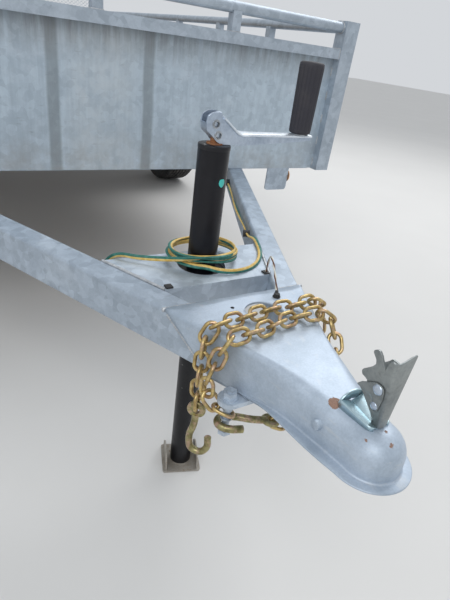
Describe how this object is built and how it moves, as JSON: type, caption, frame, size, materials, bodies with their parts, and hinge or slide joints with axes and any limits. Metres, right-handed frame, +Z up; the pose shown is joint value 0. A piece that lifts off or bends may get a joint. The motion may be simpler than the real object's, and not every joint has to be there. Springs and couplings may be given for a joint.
{
  "type": "utility trailer",
  "caption": "Galvanised single-axle utility trailer with a sheet-sided cage bed, plank deck, mesh ramp gate, A-frame tongue, ball coupler, safety chains and a swing-crank tongue jack.",
  "frame": {"origin": "centre of the bounding box on the ground that the tyres and the jack's foot stand on", "axes": "+Z up, +Y from the coupler towards the ramp gate, +X to the right as seen by someone standing in front of the coupler and facing the trailer"},
  "size_m": [2.38, 4.3538, 1.794],
  "materials": {
    "galvanised": "hot-dip galvanised, pale blue-grey with dull spangle and streaks",
    "galvanised_sheet": "galvanised sheet, pale, streaked and dirty near its lower edge",
    "coupler_zinc": "light grey zinc finish, scuffed, with a little rust",
    "latch_zinc": "darker grey zinc, worn bright at the edges",
    "chain_gold": "yellow zinc, dusty, browned in the joints",
    "hook_olive": "olive-gold zinc, dull",
    "bolt_zinc": "bright zinc, dulled",
    "jack_black": "gloss black enamel, dusty",
    "crank_zinc": "bright zinc",
    "grip_black": "black rubber, lengthwise ribs",
    "leg_black": "black paint, dusty and scratched",
    "foot_zinc": "zinc, dusty and muddy",
    "wood": "weathered softwood planks",
    "tyre": "black rubber, blank sidewall, dusty tread",
    "rim": "silver paint",
    "hub": "zinc plated",
    "axle_black": "black paint, dusty",
    "spring": "dark paint over spring steel, rusty at the edges",
    "red_lens": "clear red lens over ribs",
    "amber_lens": "clear amber lens",
    "cord_yellow": "bonded yellow and green cores, dusty",
    "plug_black": "black moulded plastic",
    "wire_white": "white insulation",
    "rubber_black": "black rubber"
  },
  "bodies": {
    "chassis": {"tongue_tubes": "galvanised", "jack_plate": "galvanised", "coupler_body": "coupler_zinc", "coupler_latch": "latch_zinc", "chain_ears": "bolt_zinc", "safety_chain_left": "chain_gold", "safety_chain_right": "chain_gold", "chain_hooks": "hook_olive", "jack_housing": "jack_black", "jack_crank": "crank_zinc", "jack_grip": "grip_black", "side_rails": "galvanised", "crossmembers": "galvanised", "deck_boards": "wood", "front_wall": "galvanised_sheet", "right_wall": "galvanised_sheet", "left_wall": "galvanised_sheet", "corner_posts": "galvanised", "side_stakes": "galvanised", "top_chords": "galvanised", "pipe_rails": "galvanised", "rail_uprights": "galvanised", "rear_sill": "galvanised", "axle_beam": "axle_black", "leaf_springs": "spring", "spring_hangers": "galvanised", "axle_clamps": "bolt_zinc", "fender_right": "galvanised_sheet", "fender_left": "galvanised_sheet", "lamp_brackets": "galvanised", "tail_lamps": "red_lens", "marker_lamps": "amber_lens", "harness_lead": "cord_yellow", "harness_coil": "cord_yellow", "harness_plug": "plug_black", "ground_wire": "wire_white", "grommets": "rubber_black"},
    "wheel_right": {"tyre_right": "tyre", "rim_right": "rim", "hub_right": "hub"},
    "wheel_left": {"tyre_left": "tyre", "rim_left": "rim", "hub_left": "hub"},
    "gate": {"gate_frame": "galvanised", "gate_mesh": "galvanised"},
    "leg": {"jack_leg_tube": "leg_black", "jack_foot": "foot_zinc"}
  },
  "joints": [
    {"name": "wheel_right_spin", "type": "hinge", "parent": "chassis", "child": "wheel_right", "pos_m": [1.071, 0.86905, 0.3445], "axis": [1, 0, 0], "continuous": true},
    {"name": "wheel_left_spin", "type": "hinge", "parent": "chassis", "child": "wheel_left", "pos_m": [-1.071, 0.86905, 0.3445], "axis": [1, 0, 0], "continuous": true},
    {"name": "gate_hinge", "type": "hinge", "parent": "chassis", "child": "gate", "pos_m": [0, 2.16295, 0.565], "axis": [-1, 0, 0], "range_deg": [0, 115]},
    {"name": "jack_leg_slide", "type": "slide", "parent": "chassis", "child": "leg", "axis": [0, 0, 1], "range_m": [0, 0.23]}
  ]
}
